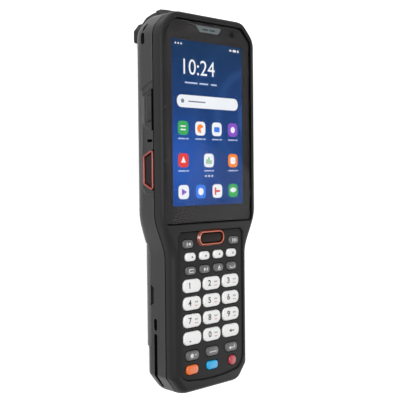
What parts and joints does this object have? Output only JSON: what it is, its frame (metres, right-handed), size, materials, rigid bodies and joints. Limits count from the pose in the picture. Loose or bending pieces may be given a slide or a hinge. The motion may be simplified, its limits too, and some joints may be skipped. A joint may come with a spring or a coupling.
{
  "type": "portable barcode data terminal",
  "caption": "Handheld data terminal: touch display over a narrow keypad grip, sprung keys, side scan triggers, scanner head, lift-off battery.",
  "frame": {"origin": "middle of the footprint, on the surface that the terminal lies on, back down", "axes": "+Z out of the display, +Y towards the scanner head, +X to the right as seen by the user"},
  "size_m": [0.0706, 0.208, 0.0292],
  "materials": {
    "bezel_plastic": "satin black panel",
    "black_parts": "black moulding",
    "black_rubber": "matt rubber",
    "blue_key": "satin blue key",
    "circuit_board": "solder mask",
    "cover_glass": "clear glass with a printed dark border",
    "dark_key": "matt dark rubber",
    "display": "lit display",
    "front_shell": "fine-grained matt black-grey shell",
    "gold_contact": "gold plated",
    "grey_key": "satin grey key",
    "grille_metal": "grey painted metal grille",
    "lens": "black lens",
    "orange_key": "satin orange key",
    "orange_trim": "satin orange ring",
    "pack_shell": "matt dark grey shell",
    "rear_shell": "fine-grained matt dark grey shell",
    "red_key": "satin red key",
    "rocker_rubber": "ridged dark rubber",
    "scan_glass": "tinted window",
    "silicone": "soft silicone",
    "steel": "bright steel",
    "white_key": "satin white key"
  },
  "bodies": {
    "housing": {"front_housing": "front_shell", "keypad_bezel": "bezel_plastic", "touch_glass": "cover_glass", "display_module": "display", "earpiece_grille": "grille_metal", "front_camera": "lens", "keypad_mat": "silicone", "keypad_board": "circuit_board", "scan_key_ring": "orange_trim", "rear_housing": "rear_shell", "housing_seal": "black_rubber", "main_board": "circuit_board", "scanner_head": "rear_shell", "scan_bezel": "black_rubber", "scan_window": "scan_glass", "scan_engine": "black_parts", "rear_camera": "lens", "loudspeaker": "black_parts", "vibration_motor": "steel", "side_switches": "steel", "trigger_rings": "orange_trim", "usb_socket": "steel", "battery_contacts": "gold_contact", "charging_contacts": "gold_contact", "housing_screws": "steel"},
    "key_soft_left": {"key_soft_left": "grey_key"},
    "key_soft_right": {"key_soft_right": "grey_key"},
    "key_left": {"key_left": "white_key"},
    "key_down": {"key_down": "white_key"},
    "key_up": {"key_up": "white_key"},
    "key_right": {"key_right": "white_key"},
    "key_escape": {"key_escape": "grey_key"},
    "key_tab": {"key_tab": "grey_key"},
    "key_shift": {"key_shift": "grey_key"},
    "key_space": {"key_space": "grey_key"},
    "key_point": {"key_point": "white_key"},
    "key_0": {"key_0": "white_key"},
    "key_delete": {"key_delete": "white_key"},
    "key_7": {"key_7": "white_key"},
    "key_8": {"key_8": "white_key"},
    "key_9": {"key_9": "white_key"},
    "key_4": {"key_4": "white_key"},
    "key_5": {"key_5": "white_key"},
    "key_6": {"key_6": "white_key"},
    "key_1": {"key_1": "white_key"},
    "key_2": {"key_2": "white_key"},
    "key_3": {"key_3": "white_key"},
    "key_function": {"key_function": "grey_key"},
    "key_mode": {"key_mode": "grey_key"},
    "key_enter": {"key_enter": "grey_key"},
    "key_orange": {"key_orange": "orange_key"},
    "key_blue": {"key_blue": "blue_key"},
    "key_power": {"key_power": "red_key"},
    "scan_key": {"scan_key": "dark_key"},
    "left_trigger": {"left_trigger": "dark_key"},
    "right_trigger": {"right_trigger": "dark_key"},
    "volume_rocker": {"volume_rocker": "rocker_rubber"},
    "battery_pack": {"battery_pack": "pack_shell"},
    "battery_latch": {"battery_latch": "dark_key"},
    "port_cover": {"port_cover": "black_rubber"}
  },
  "joints": [
    {"name": "key_soft_left_press", "type": "slide", "parent": "housing", "child": "key_soft_left", "axis": [0, 0, -1], "range_m": [0, 0.0004], "stiffness_N_per_m": 800, "springref_m": -0.0006},
    {"name": "key_soft_right_press", "type": "slide", "parent": "housing", "child": "key_soft_right", "axis": [0, 0, -1], "range_m": [0, 0.0004], "stiffness_N_per_m": 800, "springref_m": -0.0006},
    {"name": "key_left_press", "type": "slide", "parent": "housing", "child": "key_left", "axis": [0, 0, -1], "range_m": [0, 0.0004], "stiffness_N_per_m": 800, "springref_m": -0.0006},
    {"name": "key_down_press", "type": "slide", "parent": "housing", "child": "key_down", "axis": [0, 0, -1], "range_m": [0, 0.0004], "stiffness_N_per_m": 800, "springref_m": -0.0006},
    {"name": "key_up_press", "type": "slide", "parent": "housing", "child": "key_up", "axis": [0, 0, -1], "range_m": [0, 0.0004], "stiffness_N_per_m": 800, "springref_m": -0.0006},
    {"name": "key_right_press", "type": "slide", "parent": "housing", "child": "key_right", "axis": [0, 0, -1], "range_m": [0, 0.0004], "stiffness_N_per_m": 800, "springref_m": -0.0006},
    {"name": "key_escape_press", "type": "slide", "parent": "housing", "child": "key_escape", "axis": [0, 0, -1], "range_m": [0, 0.0004], "stiffness_N_per_m": 800, "springref_m": -0.0006},
    {"name": "key_tab_press", "type": "slide", "parent": "housing", "child": "key_tab", "axis": [0, 0, -1], "range_m": [0, 0.0004], "stiffness_N_per_m": 800, "springref_m": -0.0006},
    {"name": "key_shift_press", "type": "slide", "parent": "housing", "child": "key_shift", "axis": [0, 0, -1], "range_m": [0, 0.0004], "stiffness_N_per_m": 800, "springref_m": -0.0006},
    {"name": "key_space_press", "type": "slide", "parent": "housing", "child": "key_space", "axis": [0, 0, -1], "range_m": [0, 0.0004], "stiffness_N_per_m": 800, "springref_m": -0.0006},
    {"name": "key_point_press", "type": "slide", "parent": "housing", "child": "key_point", "axis": [0, 0, -1], "range_m": [0, 0.0004], "stiffness_N_per_m": 800, "springref_m": -0.0006},
    {"name": "key_0_press", "type": "slide", "parent": "housing", "child": "key_0", "axis": [0, 0, -1], "range_m": [0, 0.0004], "stiffness_N_per_m": 800, "springref_m": -0.0006},
    {"name": "key_delete_press", "type": "slide", "parent": "housing", "child": "key_delete", "axis": [0, 0, -1], "range_m": [0, 0.0004], "stiffness_N_per_m": 800, "springref_m": -0.0006},
    {"name": "key_7_press", "type": "slide", "parent": "housing", "child": "key_7", "axis": [0, 0, -1], "range_m": [0, 0.0004], "stiffness_N_per_m": 800, "springref_m": -0.0006},
    {"name": "key_8_press", "type": "slide", "parent": "housing", "child": "key_8", "axis": [0, 0, -1], "range_m": [0, 0.0004], "stiffness_N_per_m": 800, "springref_m": -0.0006},
    {"name": "key_9_press", "type": "slide", "parent": "housing", "child": "key_9", "axis": [0, 0, -1], "range_m": [0, 0.0004], "stiffness_N_per_m": 800, "springref_m": -0.0006},
    {"name": "key_4_press", "type": "slide", "parent": "housing", "child": "key_4", "axis": [0, 0, -1], "range_m": [0, 0.0004], "stiffness_N_per_m": 800, "springref_m": -0.0006},
    {"name": "key_5_press", "type": "slide", "parent": "housing", "child": "key_5", "axis": [0, 0, -1], "range_m": [0, 0.0004], "stiffness_N_per_m": 800, "springref_m": -0.0006},
    {"name": "key_6_press", "type": "slide", "parent": "housing", "child": "key_6", "axis": [0, 0, -1], "range_m": [0, 0.0004], "stiffness_N_per_m": 800, "springref_m": -0.0006},
    {"name": "key_1_press", "type": "slide", "parent": "housing", "child": "key_1", "axis": [0, 0, -1], "range_m": [0, 0.0004], "stiffness_N_per_m": 800, "springref_m": -0.0006},
    {"name": "key_2_press", "type": "slide", "parent": "housing", "child": "key_2", "axis": [0, 0, -1], "range_m": [0, 0.0004], "stiffness_N_per_m": 800, "springref_m": -0.0006},
    {"name": "key_3_press", "type": "slide", "parent": "housing", "child": "key_3", "axis": [0, 0, -1], "range_m": [0, 0.0004], "stiffness_N_per_m": 800, "springref_m": -0.0006},
    {"name": "key_function_press", "type": "slide", "parent": "housing", "child": "key_function", "axis": [0, 0, -1], "range_m": [0, 0.0004], "stiffness_N_per_m": 800, "springref_m": -0.0006},
    {"name": "key_mode_press", "type": "slide", "parent": "housing", "child": "key_mode", "axis": [0, 0, -1], "range_m": [0, 0.0004], "stiffness_N_per_m": 800, "springref_m": -0.0006},
    {"name": "key_enter_press", "type": "slide", "parent": "housing", "child": "key_enter", "axis": [0, 0, -1], "range_m": [0, 0.0004], "stiffness_N_per_m": 800, "springref_m": -0.0006},
    {"name": "key_orange_press", "type": "slide", "parent": "housing", "child": "key_orange", "axis": [0, 0, -1], "range_m": [0, 0.0004], "stiffness_N_per_m": 800, "springref_m": -0.0006},
    {"name": "key_blue_press", "type": "slide", "parent": "housing", "child": "key_blue", "axis": [0, 0, -1], "range_m": [0, 0.0004], "stiffness_N_per_m": 800, "springref_m": -0.0006},
    {"name": "key_power_press", "type": "slide", "parent": "housing", "child": "key_power", "axis": [0, 0, -1], "range_m": [0, 0.0004], "stiffness_N_per_m": 800, "springref_m": -0.0006},
    {"name": "scan_key_press", "type": "slide", "parent": "housing", "child": "scan_key", "axis": [0, 0, -1], "range_m": [0, 0.0004], "stiffness_N_per_m": 800, "springref_m": -0.0006},
    {"name": "left_trigger_press", "type": "slide", "parent": "housing", "child": "left_trigger", "axis": [1, 0, 0], "range_m": [0, 0.0007], "stiffness_N_per_m": 1500, "springref_m": -0.0005},
    {"name": "right_trigger_press", "type": "slide", "parent": "housing", "child": "right_trigger", "axis": [-1, 0, 0], "range_m": [0, 0.0007], "stiffness_N_per_m": 1500, "springref_m": -0.0005},
    {"name": "volume_tilt", "type": "hinge", "parent": "housing", "child": "volume_rocker", "pos_m": [-0.0325, 0.0473, 0.0176], "axis": [0, 0, 1], "range_deg": [-2.5, 2.5], "stiffness_Nm_per_rad": 0.2},
    {"name": "battery_lift", "type": "slide", "parent": "housing", "child": "battery_pack", "axis": [0, 0, -1], "range_m": [0, 0.022]},
    {"name": "latch_slide", "type": "slide", "parent": "housing", "child": "battery_latch", "axis": [0, -1, 0], "range_m": [0, 0.003], "stiffness_N_per_m": 300, "springref_m": -0.001},
    {"name": "port_cover_swing", "type": "hinge", "parent": "housing", "child": "port_cover", "pos_m": [0, -0.1038, 0.0139], "axis": [1, 0, 0], "range_deg": [0, 100]}
  ]
}
